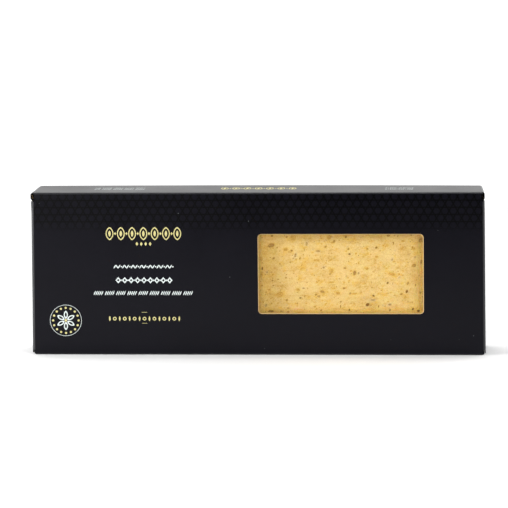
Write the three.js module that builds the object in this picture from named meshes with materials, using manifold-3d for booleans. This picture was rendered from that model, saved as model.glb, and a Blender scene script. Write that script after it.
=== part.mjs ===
// A bar of soft almond nougat in its windowed tuck-end carton, in millimetres, +Z up.
// The carton stands on one of its long narrow sides, with the window facing -Y.
// The origin is the middle of the base, and X runs along the bar.
import * as THREE from "three";
import { mergeVertices } from "three/addons/utils/BufferGeometryUtils.js";
import Module from "manifold-3d";

const wasm = await Module();
wasm.setup();

// ---- Driving dimensions ----

const BOX = { length: 240, depth: 28, height: 87 };

const BOARD = 0.5; // paperboard thickness
const FOLD = 1.2; // outer radius of a fold
const FOLD_STEPS = 5; // straight facets in a quarter turn
const SLIP = 0.3; // gap between boards that only lie together

// The window's corner nearest the origin is measured from the carton's left end and base.
const WINDOW = { left: 119.6, width: 88, bottom: 22, height: 43, corner: 2 };
const CORNER_STEPS = 6;

// The end panel that closes each end, and the tongue that it tucks behind the front.
const CLOSURE = { bottom: 0.8, topGap: 3.8, tongue: 15 };
// The short flaps under the end panel, folded in from the top and from the base. Each is as wide
// as the flat of its panel at the fold, and narrower by the shoulders where it lies under the panel.
const DUST_FLAP = { reach: 23, shoulder: 1, jogAngle: 25, jogRadius: 1 };
const HINGE_OVERLAP = 7; // how far a flap's strip runs back into the panel that it hangs on

const FILM = { thickness: 0.2, margin: 8, glueGap: 0.1 };

const BLOCK = { length: 228, depth: 20, height: 79, edge: 3, frontGap: 2.9 };
const BLOCK_GRID = { length: 40, depth: 6, height: 17 };
const BLOCK_UNEVENNESS = 0.3; // how far the cast faces swell and sink

// Chopped almonds that stand a little proud of the two broad faces.
const NUTS = { front: 56, back: 22, shortest: 1.6, longest: 3.6, proud: 0.35, margin: 7, seed: 5 };

const HALF_LENGTH = BOX.length / 2;
const FRONT = -BOX.depth / 2;
const BACK = BOX.depth / 2;
const SLEEVE_END = HALF_LENGTH - FOLD;

// ---- Solids ----

const X = new THREE.Vector3(1, 0, 0);
const Y = new THREE.Vector3(0, 1, 0);
const Z = new THREE.Vector3(0, 0, 1);

// Each prism axis, with the two axes that its outline is drawn in, in that order.
const PRISM_BASIS = { X: [Y, Z, X], Y: [Z, X, Y], Z: [X, Y, Z] };

function solidFrom(geometry) {
  const bare = geometry.clone();
  bare.deleteAttribute("normal");
  bare.deleteAttribute("uv");
  const merged = mergeVertices(bare, 1e-4);
  return new wasm.Manifold(
    new wasm.Mesh({
      numProp: 3,
      vertProperties: merged.attributes.position.array,
      triVerts: new Uint32Array(merged.index.array),
    }),
  );
}

function geometryFrom(solid) {
  const mesh = solid.getMesh();
  const geometry = new THREE.BufferGeometry();
  geometry.setAttribute("position", new THREE.BufferAttribute(mesh.vertProperties, 3));
  geometry.setIndex(new THREE.BufferAttribute(mesh.triVerts, 1));
  geometry.computeVertexNormals();
  return geometry;
}

// An outline, extruded along an axis from one place to another.
function prism(axis, outline, from, to, curveSegments = FOLD_STEPS) {
  const geometry = new THREE.ExtrudeGeometry(outline, {
    depth: to - from,
    bevelEnabled: false,
    curveSegments,
  });
  const basis = PRISM_BASIS[axis];
  geometry.applyMatrix4(new THREE.Matrix4().makeBasis(...basis));
  geometry.translate(...basis[2].clone().multiplyScalar(from).toArray());
  return solidFrom(geometry);
}

function roundedRectangle(lowU, lowV, highU, highV, radius) {
  const quarter = Math.PI / 2;
  return new THREE.Shape()
    .moveTo(lowU + radius, lowV)
    .absarc(highU - radius, lowV + radius, radius, -quarter, 0)
    .absarc(highU - radius, highV - radius, radius, 0, quarter)
    .absarc(lowU + radius, highV - radius, radius, quarter, 2 * quarter)
    .absarc(lowU + radius, lowV + radius, radius, 2 * quarter, 3 * quarter);
}

// The cut section of a bent board. It starts at a point of its outer face and follows the moves:
// { go: distance } or { bend: degrees, radius }, positive to the left, with the radius on that face.
// The board's thickness lies on the right of the way along it where side is 1, and else on the left.
function bentBoard(start, heading, side, moves) {
  let point = new THREE.Vector2(...start);
  let angle = THREE.MathUtils.degToRad(heading);
  const outer = [];
  const inner = [];
  const alongTo = (distance, direction) =>
    new THREE.Vector2(Math.cos(direction), Math.sin(direction)).multiplyScalar(distance);
  const mark = () => {
    outer.push(point.clone());
    inner.push(point.clone().add(alongTo(BOARD, angle - (side * Math.PI) / 2)));
  };
  mark();
  for (const move of moves) {
    if (move.go) {
      point = point.clone().add(alongTo(move.go, angle));
      mark();
      continue;
    }
    const turn = Math.sign(move.bend);
    const centre = point.clone().add(alongTo(move.radius, angle + (turn * Math.PI) / 2));
    const steps = Math.max(2, Math.round((FOLD_STEPS * Math.abs(move.bend)) / 90));
    for (let step = 0; step < steps; step++) {
      angle += THREE.MathUtils.degToRad(move.bend / steps);
      point = centre.clone().add(alongTo(move.radius, angle - (turn * Math.PI) / 2));
      mark();
    }
  }
  return [...outer, ...inner.reverse()];
}

// ---- The carton ----

function sleeve() {
  const ring = roundedRectangle(FRONT, 0, BACK, BOX.height, FOLD);
  ring.holes.push(
    roundedRectangle(FRONT + BOARD, BOARD, BACK - BOARD, BOX.height - BOARD, FOLD - BOARD),
  );
  return prism("X", ring, -SLEEVE_END, SLEEVE_END);
}

function windowCut() {
  const left = -HALF_LENGTH + WINDOW.left;
  const outline = roundedRectangle(
    WINDOW.bottom,
    left,
    WINDOW.bottom + WINDOW.height,
    left + WINDOW.width,
    WINDOW.corner,
  );
  return prism("Y", outline, FRONT - 1, FRONT + 1, CORNER_STEPS);
}

// The end panel hangs on the back panel, crosses the end, and turns in behind the front.
function closure(end) {
  const tongueFace = FRONT + BOARD + SLIP;
  const section = bentBoard([SLEEVE_END - HINGE_OVERLAP, BACK], 0, 1, [
    { go: HINGE_OVERLAP },
    { bend: -90, radius: FOLD },
    { go: BACK - tongueFace - 2 * FOLD },
    { bend: -90, radius: FOLD },
    { go: CLOSURE.tongue },
  ]);
  const outline = new THREE.Shape(section.map((p) => new THREE.Vector2(end * p.x, p.y)));
  return prism("Z", outline, CLOSURE.bottom, BOX.height - CLOSURE.topGap);
}

// A dust flap's strip, drawn in X and Z, swept across the carton's depth and cut to its outline.
// The shoulders lie between the two heights given, the wide one first.
function dustFlap(end, section, wideHeight, narrowHeight) {
  const strip = new THREE.Shape(section.map((p) => new THREE.Vector2(p.y, end * p.x)));
  const wide = BACK - FOLD;
  const narrow = wide - DUST_FLAP.shoulder;
  const foldHeight = wideHeight > narrowHeight ? BOX.height + 1 : -1;
  const tipHeight = BOX.height - foldHeight;
  const halfOutline = [
    [wide, foldHeight],
    [wide, wideHeight],
    [narrow, narrowHeight],
    [narrow, tipHeight],
  ];
  const mirrored = halfOutline.map(([y, z]) => [-y, z]).reverse();
  const outline = [...halfOutline, ...mirrored].map(([y, z]) => new THREE.Vector2(y, z));
  return prism("Y", strip, FRONT, BACK).intersect(
    prism("X", new THREE.Shape(outline), -HALF_LENGTH - 1, HALF_LENGTH + 1),
  );
}

// The upper flap bulges out to the carton's full length, then jogs in to pass under the end panel.
function upperDustFlap(end) {
  const { jogAngle, jogRadius, reach } = DUST_FLAP;
  const jog = THREE.MathUtils.degToRad(jogAngle);
  const jogDepth = BOARD + SLIP / 2;
  const slant = (jogDepth - 2 * jogRadius * (1 - Math.cos(jog))) / Math.sin(jog);
  return dustFlap(
    end,
    bentBoard([SLEEVE_END - HINGE_OVERLAP, BOX.height], 0, 1, [
      { go: HINGE_OVERLAP },
      { bend: -90, radius: FOLD },
      { go: FOLD / 2 },
      { bend: -jogAngle, radius: jogRadius },
      { go: slant },
      { bend: jogAngle, radius: jogRadius },
      { go: reach - 3 * FOLD },
    ]),
    BOX.height - CLOSURE.topGap + SLIP,
    BOX.height - CLOSURE.topGap - SLIP,
  );
}

function lowerDustFlap(end) {
  const face = HALF_LENGTH - BOARD - SLIP / 2;
  return dustFlap(
    end,
    bentBoard([SLEEVE_END - HINGE_OVERLAP, 0], 0, -1, [
      { go: face - FOLD - SLEEVE_END + HINGE_OVERLAP },
      { bend: 90, radius: FOLD },
      { go: DUST_FLAP.reach - FOLD },
    ]),
    BOARD,
    CLOSURE.bottom,
  );
}

function cartonSolid() {
  let carton = sleeve().subtract(windowCut());
  for (const end of [-1, 1]) {
    for (const flap of [closure(end), upperDustFlap(end), lowerDustFlap(end)]) {
      carton = carton.add(flap);
    }
  }
  return carton;
}

// ---- The nougat ----

function seededRandom(seed) {
  let state = seed;
  return () => {
    state = (state + 0x6d2b79f5) | 0;
    let mixed = Math.imul(state ^ (state >>> 15), 1 | state);
    mixed = (mixed + Math.imul(mixed ^ (mixed >>> 7), 61 | mixed)) ^ mixed;
    return ((mixed ^ (mixed >>> 14)) >>> 0) / 2 ** 32;
  };
}

// A grid line's place along one side: two spaces in each rounded edge, the rest even between them.
function gridPlace(index, count, half) {
  const flat = half - BLOCK.edge;
  if (index < 2) return -half + (index * BLOCK.edge) / 2;
  if (index > count - 2) return half - ((count - index) * BLOCK.edge) / 2;
  return -flat + (2 * flat * (index - 2)) / (count - 4);
}

// How far a cast face swells at a place, as a few crossing waves of unlike lengths.
function swell(p) {
  const waves =
    Math.sin(p.x / 17 + 0.6) * Math.cos(p.z / 13 + 1.1) +
    0.6 * Math.sin(p.x / 7.3 + p.z / 9.1) +
    0.4 * Math.cos(p.x / 29 - p.z / 5.7 + p.y / 6);
  return (BLOCK_UNEVENNESS * waves) / 2;
}

function castBlock() {
  const half = new THREE.Vector3(BLOCK.length / 2, BLOCK.depth / 2, BLOCK.height / 2);
  const count = new THREE.Vector3(BLOCK_GRID.length, BLOCK_GRID.depth, BLOCK_GRID.height);
  const geometry = new THREE.BoxGeometry(2, 2, 2, count.x, count.y, count.z);
  const position = geometry.attributes.position;
  const flat = half.clone().subScalar(BLOCK.edge);
  const p = new THREE.Vector3();
  for (let i = 0; i < position.count; i++) {
    p.fromBufferAttribute(position, i);
    for (const axis of ["x", "y", "z"]) {
      const index = Math.round(((p[axis] + 1) / 2) * count[axis]);
      p[axis] = gridPlace(index, count[axis], half[axis]);
    }
    const core = p.clone().clamp(flat.clone().negate(), flat);
    const outward = p.clone().sub(core).normalize();
    p.copy(core).addScaledVector(outward, BLOCK.edge + swell(core) - BLOCK_UNEVENNESS);
    position.setXYZ(i, p.x, p.y, p.z);
  }
  return solidFrom(geometry);
}

function nutPiece(random, face) {
  const { shortest, longest, proud, margin } = NUTS;
  const length = shortest + (longest - shortest) * random() ** 2;
  const piece = new THREE.IcosahedronGeometry(1, 0);
  piece.rotateY(random() * Math.PI);
  piece.scale(length / 2, 2 * proud, length * (0.3 + 0.15 * random()));
  piece.rotateY(random() * Math.PI);
  piece.translate(
    (random() - 0.5) * (BLOCK.length - 2 * margin),
    face * (BLOCK.depth / 2 - BLOCK_UNEVENNESS - proud),
    (random() - 0.5) * (BLOCK.height - 2 * margin),
  );
  return solidFrom(piece);
}

function nougatSolid() {
  const random = seededRandom(NUTS.seed);
  let nougat = castBlock();
  for (let i = 0; i < NUTS.front; i++) nougat = nougat.add(nutPiece(random, -1));
  for (let i = 0; i < NUTS.back; i++) nougat = nougat.add(nutPiece(random, 1));
  return nougat;
}

// ---- The pieces, in place ----

function piece(name, geometry, material) {
  const mesh = new THREE.Mesh(geometry, new THREE.MeshStandardMaterial(material));
  mesh.name = name;
  return mesh;
}

const carton = piece("carton", geometryFrom(cartonSolid()), {
  color: 0x1e1e22,
  roughness: 0.5,
  metalness: 0,
});

const film = piece(
  "window_film",
  new THREE.BoxGeometry(
    WINDOW.width + 2 * FILM.margin,
    FILM.thickness,
    WINDOW.height + 2 * FILM.margin,
  ),
  { color: 0xffffff, roughness: 0.08, metalness: 0, transparent: true, opacity: 0.12 },
);
film.position.set(
  -HALF_LENGTH + WINDOW.left + WINDOW.width / 2,
  FRONT + BOARD + FILM.glueGap + FILM.thickness / 2,
  WINDOW.bottom + WINDOW.height / 2,
);

const nougat = piece("nougat_block", geometryFrom(nougatSolid()), {
  color: 0xe9c478,
  roughness: 0.6,
  metalness: 0,
});
nougat.position.set(
  0,
  FRONT + BOARD + BLOCK.frontGap + BLOCK.depth / 2,
  BOARD + SLIP + BLOCK.height / 2,
);

const pack = new THREE.Group();
pack.add(carton, film, nougat);

export default pack;
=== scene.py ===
"""A bar of almond nougat in its shut windowed carton: the looks around the CAD frame.

Lengths are in millimetres until a mesh is made from them. +Z is up, the window faces -Y and X runs
along the bar. Each shape follows the frame's nodes; the carton is one folded sheet of black board.
"""

import math
import random

import bmesh
import bpy
import numpy as np
from mathutils import Euler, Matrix, Quaternion, Vector, noise


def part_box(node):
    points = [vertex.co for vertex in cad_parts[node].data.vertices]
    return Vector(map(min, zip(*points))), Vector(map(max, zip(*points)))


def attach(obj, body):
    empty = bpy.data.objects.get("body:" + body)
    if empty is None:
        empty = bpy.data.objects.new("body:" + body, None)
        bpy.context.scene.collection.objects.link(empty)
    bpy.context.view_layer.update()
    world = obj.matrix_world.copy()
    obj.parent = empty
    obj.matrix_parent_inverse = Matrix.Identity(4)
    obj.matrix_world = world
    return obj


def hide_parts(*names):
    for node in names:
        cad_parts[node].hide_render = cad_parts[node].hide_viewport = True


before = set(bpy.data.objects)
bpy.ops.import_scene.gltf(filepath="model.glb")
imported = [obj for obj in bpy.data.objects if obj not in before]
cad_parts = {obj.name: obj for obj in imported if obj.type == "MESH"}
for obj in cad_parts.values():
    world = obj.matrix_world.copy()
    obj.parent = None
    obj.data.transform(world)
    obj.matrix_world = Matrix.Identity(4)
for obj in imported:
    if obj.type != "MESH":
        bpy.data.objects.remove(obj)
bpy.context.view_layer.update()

MM = 0.001
BODY = "root"


def node_box(node):
    """A CAD node's lowest and highest corners, in millimetres."""
    return [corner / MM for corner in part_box(node)]


# ---- Driving dimensions ----

_, CARTON_HIGH = node_box("carton")
FILM_LOW, FILM_HIGH = node_box("window_film")
NOUGAT_LOW, NOUGAT_HIGH = node_box("nougat_block")

HALF_LENGTH = CARTON_HIGH.x
HALF_DEPTH = CARTON_HIGH.y
HEIGHT = CARTON_HIGH.z

BOARD = 0.5  # paperboard thickness
FOLD = 1.2  # outer radius of the flaps' folds
SLEEVE_FOLD = 0.8  # and of the tighter folds along the sleeve
FOLD_STEPS = 8  # facets in a quarter turn
BOARD_GRID = 6.0  # spacing of the sleeve's grid
SLIP = 0.3  # gap between boards that only lie together
SLEEVE_END = HALF_LENGTH - FOLD
BASE_END = HALF_LENGTH - BOARD - SLIP / 2 - FOLD  # where the base folds up into its dust flap

FILM_MARGIN = 8.0  # how far the film reaches past the window
TRIM_LEFT, TRIM_BELOW = 0.5, 0.2  # and how much further at its left and below it
WINDOW_LOW = (FILM_LOW.x + FILM_MARGIN + TRIM_LEFT, FILM_LOW.z + FILM_MARGIN + TRIM_BELOW)
WINDOW_HIGH = (FILM_HIGH.x - FILM_MARGIN, FILM_HIGH.z - FILM_MARGIN)
WINDOW_MIDDLE = (WINDOW_LOW[0] + WINDOW_HIGH[0]) / 2
WINDOW_CORNER = 2.0
CORNER_STEPS = 8
CUT_EDGE = 0.35  # how wide the die's blade leaves the cut edge bare
CUT_DEPTH = 0.25  # how deep it rounds that edge

CLOSURE_LOW, CLOSURE_HIGH = 0.8, HEIGHT - 5.0
CLOSURE_CORNER = 1.6  # the tuck fold's cut-off corners
TONGUE = 15.0  # how far the end panel tucks in
FLAP_REACH = 23.0
FLAP_SHOULDER = 1.0  # how much narrower a dust flap is, on each side, under the end panel
BULGE = 1.5 * FOLD  # how far down the upper dust flap bulges before it jogs in
JOG_ANGLE, JOG_RADIUS = 25.0, 1.0
GLUE_FLAP = 13.0
GLUE_GAP = 0.03
BACK_EDGE = 1.24  # how far above the floor the back ends

LEFT_LEAN, RIGHT_LEAN = 0.42, 0.36  # how far the ends stand out at the base, and in at the top
BACK_SWELL = 0.15  # how far the back swells out between its folds
FRONT_SWELL = 0.7  # and the front, most of all near its window
SWELL_REACH = 90.0  # how far from the window the front's swell fades
LEFT_GAP = 0.3  # how far the left end's folds stand out
LEFT_CORNER = 0.35  # how much further the dust flap's does, above the end panel
LEFT_PRESS, RIGHT_PRESS = 1.3, 1.05  # how far the top's rear corners are pressed in
TOP_ARCH = 0.2  # how far the top's rear edge arches between the ends
RIGHT_SINK = 0.13  # and how far its right end sinks

INK_LIFT, INK_THICKNESS = 0.01, 0.025
FOIL_THICKNESS = 0.03


def unit(value):
    """The value, kept between 0 and 1."""
    return min(max(value, 0.0), 1.0)


# ---- Meshes ----


class Shell:
    """Collects points and faces, each face with its material's place in the list of materials."""

    def __init__(self):
        self.points = []
        self.faces = []
        self.slots = []

    def add_points(self, points):
        start = len(self.points)
        self.points.extend(tuple(p) for p in points)
        return list(range(start, len(self.points)))

    def add_face(self, corners, slot=0):
        self.faces.append(tuple(corners))
        self.slots.append(slot)

    def add_strip(self, first, second, slot=0, closed=False):
        """Quads between two equally long rows of points."""
        count = len(first)
        for k in range(count if closed else count - 1):
            after = (k + 1) % count
            self.add_face((first[k], first[after], second[after], second[k]), slot)

    def join_edges(self, front, rear, slot=0):
        """Strips that join two equal grids of points along their four sides."""
        for end in (0, -1):
            self.add_strip(front[end], rear[end], slot)
            self.add_strip([row[end] for row in front], [row[end] for row in rear], slot)

    def make(self, name, materials, smooth_angle=35.0, weld=0.0):
        """The object, in metres, with its faces turned outward."""
        mesh = bpy.data.meshes.new(name)
        scaled = np.array(self.points, float) * MM
        mesh.from_pydata(scaled.tolist(), [], self.faces)
        for material in materials:
            mesh.materials.append(material)
        mesh.polygons.foreach_set("material_index", self.slots)
        work = bmesh.new()
        work.from_mesh(mesh)
        if weld:
            bmesh.ops.remove_doubles(work, verts=work.verts, dist=weld * MM)
        bmesh.ops.recalc_face_normals(work, faces=work.faces)
        work.to_mesh(mesh)
        work.free()
        mesh.polygons.foreach_set("use_smooth", [True] * len(mesh.polygons))
        mesh.set_sharp_from_angle(angle=math.radians(smooth_angle))
        obj = bpy.data.objects.new(name, mesh)
        bpy.context.scene.collection.objects.link(obj)
        return obj


def settle(points):
    """The carton's unevenness: its ends lean, its panels swell, its top's rear corners give."""
    p = np.array(points, float)
    x, y, z = p.T.copy()
    end = np.clip(x / HALF_LENGTH, -1, 1)
    along = np.cos(end * np.pi / 2)
    by_window = np.exp(-(((x - WINDOW_MIDDLE) / SWELL_REACH) ** 2))
    rise = np.clip(z / HEIGHT, 0, 1)
    up, near_top = np.sin(np.pi * rise), rise**6
    rear, front = np.clip(y / HALF_DEPTH, 0, 1), np.clip(-y / HALF_DEPTH, 0, 1)
    depth = np.clip(y / HALF_DEPTH + 1, 0, 2) / 2
    past_sleeve = np.clip((-x - SLEEVE_END) / FOLD, 0, 1)
    above_closure = np.clip(z - CLOSURE_HIGH + 1, 0, 1)

    lean = np.where(x < 0, LEFT_LEAN, RIGHT_LEAN) * (1 - 2 * rise)
    press = np.where(x < 0, LEFT_PRESS, RIGHT_PRESS) * near_top * depth
    sink = TOP_ARCH * (1 - end**2) - RIGHT_SINK * np.clip(end, 0, 1) ** 2
    p[:, 0] += (lean - press) * end**3 - (LEFT_GAP + LEFT_CORNER * above_closure) * past_sleeve
    p[:, 1] += along * up * (BACK_SWELL * rear**2 - FRONT_SWELL * by_window * front**2)
    p[:, 2] += near_top * rear * sink
    return p


# ---- The folded board ----

# FOLDED and CREASED are the folds' greyer copies of the board, a painted sheen.
PRINTED, INSIDE, CUT, FOLDED, CREASED = range(5)  # the carton's materials


class BentPath:
    """The outer face of a bent board in a plane: points, and the outward normal at each."""

    def __init__(self, start, heading, outward):
        self.point = Vector(start)
        self.angle = math.radians(heading)
        self.outward = outward  # 1 where the outer face is on the left of the way along, else -1
        self.points = []
        self.normals = []
        self.slots = []  # the outer face's material on the way to each point
        self.mark()

    def direction(self, turn=0.0):
        return Vector((math.cos(self.angle + turn), math.sin(self.angle + turn)))

    def mark(self, slot=PRINTED):
        self.points.append(self.point.copy())
        self.normals.append(self.direction(self.outward * math.pi / 2))
        self.slots.append(slot)

    def go(self, distance, steps=1):
        return self.go_to([distance * k / steps for k in range(1, steps + 1)])

    def go_to(self, lengths):
        """Marks several places along a straight run, given as distances from its start."""
        start = self.point.copy()
        for length in lengths:
            self.point = start + self.direction() * length
            self.mark()
        return self

    def bend(self, degrees, radius, slot=CREASED):
        turn = math.radians(degrees)
        steps = max(2, round(FOLD_STEPS * abs(degrees) / 90))
        side = math.copysign(math.pi / 2, turn)
        centre = self.point + self.direction(side) * radius
        for _ in range(steps):
            self.angle += turn / steps
            self.point = centre - self.direction(side) * radius
            self.mark(slot)
        return self

    def inner(self):
        return [p - n * BOARD for p, n in zip(self.points, self.normals)]


def ribbon(shell, path, spans, place, steps=8):
    """A closed strip of board: a bent path swept from a low to a high end at each point."""
    faces = []
    for line in (path.points, path.inner()):
        rows = []
        for p, (low, high) in zip(line, spans):
            sweep = [low + (high - low) * k / steps for k in range(steps + 1)]
            rows.append(shell.add_points(settle([place(p, s) for s in sweep])))
        faces.append(rows)
    outer, inner = faces
    for k in range(len(path.points) - 1):
        shell.add_strip(outer[k], outer[k + 1], path.slots[k + 1])
        shell.add_strip(inner[k], inner[k + 1], INSIDE)
    shell.join_edges(outer, inner, PRINTED)


def stations(start, end, marks, spacing):
    """Places from start to end that take in every mark, with no gap much over the spacing."""
    stops = sorted({start, end, *marks})
    places = [start]
    for a, b in zip(stops, stops[1:]):
        steps = max(1, round((b - a) / spacing))
        places += [a + (b - a) * k / steps for k in range(1, steps + 1)]
    return places


def window_lines(axis):
    low, high = WINDOW_LOW[axis], WINDOW_HIGH[axis]
    return [low, low + WINDOW_CORNER, high - WINDOW_CORNER, high]


COLUMNS = stations(-SLEEVE_END, SLEEVE_END, window_lines(0), BOARD_GRID)
ROWS = stations(SLEEVE_FOLD, HEIGHT - SLEEVE_FOLD, window_lines(1), BOARD_GRID)  # the front's own
WINDOW_COLUMNS = [COLUMNS.index(x) for x in window_lines(0)]
WINDOW_ROWS = [ROWS.index(z) for z in window_lines(1)]


def sleeve_path():
    """The wrapped section in Y and Z: glue flap, base, front, top, and the back that laps the flap.

    The second result is the front's first point.
    """
    flap_face = HALF_DEPTH - BOARD - GLUE_GAP
    fold = SLEEVE_FOLD
    path = BentPath((flap_face, GLUE_FLAP), -90, 1)
    path.go(GLUE_FLAP - fold).bend(-90, fold, FOLDED)
    path.go(flap_face + HALF_DEPTH - 2 * fold, steps=6).bend(-90, fold, FOLDED)
    front_first = len(path.points) - 1
    path.go_to([z - fold for z in ROWS[1:]]).bend(-90, fold, FOLDED)
    path.go(2 * HALF_DEPTH - 2 * fold, steps=6).bend(-90, fold, FOLDED)
    path.go(HEIGHT - fold - BACK_EDGE, steps=14)
    return path, front_first


def sleeve_end_at(point):
    """Where the sleeve stops along X: the base folds up a little sooner than the other panels."""
    return BASE_END + (SLEEVE_END - BASE_END) * unit(point.y / SLEEVE_FOLD)


def window_loop():
    """The window's rim, anticlockwise from its lower left: place, outward direction, grid cell.

    A rounded corner's own points have no grid cell. The second result is those corners: the
    square corner's grid cell, and where the arc starts.
    """
    (x0, x1, x2, x3), (z0, z1, z2, z3) = WINDOW_COLUMNS, WINDOW_ROWS
    loop, arcs = [], []

    def straight(cells, outward):
        loop.extend(((COLUMNS[i], ROWS[j]), outward, (i, j)) for i, j in cells)

    def corner(i, j, start, square):
        arcs.append((square, len(loop) - 1))
        for k in range(1, CORNER_STEPS):
            angle = math.radians(start + 90 * k / CORNER_STEPS)
            outward = (math.cos(angle), math.sin(angle))
            place = tuple(c + WINDOW_CORNER * d for c, d in zip((COLUMNS[i], ROWS[j]), outward))
            loop.append((place, outward, None))

    straight([(i, z0) for i in range(x1, x2 + 1)], (0, -1))
    corner(x2, z1, -90, (x3, z0))
    straight([(x3, j) for j in range(z1, z2 + 1)], (1, 0))
    corner(x2, z2, 0, (x3, z3))
    straight([(i, z3) for i in range(x2, x1 - 1, -1)], (0, 1))
    corner(x1, z2, 90, (x0, z3))
    straight([(x0, j) for j in range(z2, z1 - 1, -1)], (-1, 0))
    corner(x1, z1, 180, (x0, z0))
    return loop, arcs


def rim_rows(shell, loop):
    """The rim's rows of points: the print's edge, the rounded shoulder, the board's inner face."""
    front = -HALF_DEPTH
    rows = []
    for shift, depth in ((0.0, 0.0), (-CUT_EDGE, CUT_DEPTH), (-CUT_EDGE, BOARD)):
        places = [(x + u * shift, front + depth, z + v * shift) for (x, z), (u, v), _ in loop]
        rows.append(shell.add_points(settle(places)))
    return rows


def sleeve(shell):
    """The sleeve's two faces as grids along X, with the window left out and its corners filled."""
    path, front_first = sleeve_path()
    loop, arcs = window_loop()
    rim_outer, rim_shoulder, rim_inner = rim_rows(shell, loop)
    on_rim = {cell: k for k, (_, _, cell) in enumerate(loop) if cell}

    def grid(line, rim):
        table = []
        for j, p in enumerate(line):
            end = sleeve_end_at(path.points[j])
            row = shell.add_points(settle([(min(max(x, -end), end), p.x, p.y) for x in COLUMNS]))
            for i in range(len(COLUMNS)):
                k = on_rim.get((i, j - front_first))
                row[i] = row[i] if k is None else rim[k]
            table.append(row)
        return table

    def in_window(i, j):
        across = WINDOW_COLUMNS[0] <= i < WINDOW_COLUMNS[-1]
        return across and WINDOW_ROWS[0] <= j - front_first < WINDOW_ROWS[-1]

    outer = grid(path.points, rim_outer)
    inner = grid(path.inner(), rim_inner)
    for table, slots in ((outer, path.slots), (inner, [INSIDE] * len(path.slots))):
        for j in range(len(table) - 1):
            for i in range(len(COLUMNS) - 1):
                if not in_window(i, j):
                    quad = (table[j][i], table[j][i + 1], table[j + 1][i + 1], table[j + 1][i])
                    shell.add_face(quad, slots[j + 1])
    for table, rim, slot in ((outer, rim_outer, PRINTED), (inner, rim_inner, INSIDE)):
        for (i, j), start in arcs:
            fill_corner(shell, table[j + front_first][i], rim, start, slot)
    shell.add_strip(rim_outer, rim_shoulder, CUT, closed=True)
    shell.add_strip(rim_shoulder, rim_inner, CUT, closed=True)
    shell.join_edges(outer, inner, CUT)


def fill_corner(shell, corner, rim, start, slot):
    """A fan that fills the board between the window's square corner and its rounded one."""
    for k in range(start, start + CORNER_STEPS):
        shell.add_face((corner, rim[k], rim[(k + 1) % len(rim)]), slot)


def closure(shell, end):
    """The end panel: hinged on the back, across the end, and tucked in behind the front."""
    tongue_face = -HALF_DEPTH + BOARD + SLIP
    path = BentPath((SLEEVE_END, HALF_DEPTH), 0, 1)
    path.bend(-90, FOLD)
    path.go(HALF_DEPTH - tongue_face - 2 * FOLD, steps=5)
    tuck_starts = len(path.points)
    path.bend(-90, FOLD)
    path.go(TONGUE, steps=3)
    spans = [
        (CLOSURE_LOW + (CLOSURE_CORNER if k >= tuck_starts else 0.0), CLOSURE_HIGH)
        for k in range(len(path.points))
    ]
    ribbon(shell, path, spans, lambda p, s: (end * p.x, p.y, s), steps=14)


def dust_flap(shell, end, path, wide_at, narrow_at):
    """A bent flap as wide as the carton's depth lets it be, and narrower under the end panel."""
    spans = []
    for p in path.points:
        share = unit((p.y - wide_at) / (narrow_at - wide_at))
        half = HALF_DEPTH - FOLD - FLAP_SHOULDER * share
        spans.append((-half, half))
    ribbon(shell, path, spans, lambda p, s: (end * p.x, s, p.y))


def upper_dust_flap(shell, end):
    """It bulges out to the carton's full length, then jogs in to pass under the end panel."""
    depth = BOARD + SLIP / 2
    turn = math.radians(JOG_ANGLE)
    slant = (depth - 2 * JOG_RADIUS * (1 - math.cos(turn))) / math.sin(turn)
    path = BentPath((SLEEVE_END, HEIGHT), 0, 1)
    path.bend(-90, FOLD).go(BULGE)
    path.bend(-JOG_ANGLE, JOG_RADIUS).go(slant).bend(JOG_ANGLE, JOG_RADIUS)
    path.go(FLAP_REACH - BULGE - 2.5 * FOLD, steps=3)
    dust_flap(shell, end, path, CLOSURE_HIGH + SLIP, CLOSURE_HIGH - SLIP)


def lower_dust_flap(shell, end):
    path = BentPath((BASE_END, 0.0), 0, -1)
    path.bend(90, FOLD)
    path.go(FLAP_REACH - FOLD, steps=3)
    dust_flap(shell, end, path, BOARD, CLOSURE_LOW)


def build_carton(materials):
    shell = Shell()
    sleeve(shell)
    for end in (-1, 1):
        closure(shell, end)
        upper_dust_flap(shell, end)
        lower_dust_flap(shell, end)
    carton = shell.make("carton_board", materials, weld=0.002)
    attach(carton, BODY)
    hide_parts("carton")
    return carton


# ---- Print ----


class Ink(Shell):
    """Raised print of one kind, all of it equally thick."""

    def __init__(self, thickness):
        super().__init__()
        self.thickness = thickness


class Page:
    """A flat face of the carton that takes print: u runs across it and v up, as it is read."""

    def __init__(self, place):
        self.place = place

    def row(self, ink, outline, lift):
        return ink.add_points(settle([self.place(u, v, INK_LIFT + lift) for u, v in outline]))

    def slab(self, ink, outline):
        """A thin flat shape with a convex outline."""
        low, high = self.row(ink, outline, 0.0), self.row(ink, outline, ink.thickness)
        ink.add_face(low)
        ink.add_face(high)
        ink.add_strip(low, high, closed=True)

    def band(self, ink, outer, inner):
        """A thin flat ring between two outlines of equally many points."""
        section = ((outer, 0.0), (outer, ink.thickness), (inner, ink.thickness), (inner, 0.0))
        rows = [self.row(ink, outline, lift) for outline, lift in section]
        for first, second in zip(rows, rows[1:] + rows[:1]):
            ink.add_strip(first, second, closed=True)


FRONT_PAGE = Page(lambda u, v, lift: (u, -HALF_DEPTH - lift, v))
BACK_PAGE = Page(lambda u, v, lift: (-u, HALF_DEPTH + lift, v))
TOP_PAGE = Page(lambda u, v, lift: (-u, -v, HEIGHT + lift))


def circle(centre, radius, steps=48):
    u, v = centre
    turns = [2 * math.pi * k / steps for k in range(steps)]
    return [(u + radius * math.cos(t), v + radius * math.sin(t)) for t in turns]


def box(centre, width, height):
    u, v = centre
    corners = ((-1, -1), (1, -1), (1, 1), (-1, 1))
    return [(u + s * width / 2, v + t * height / 2) for s, t in corners]


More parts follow.
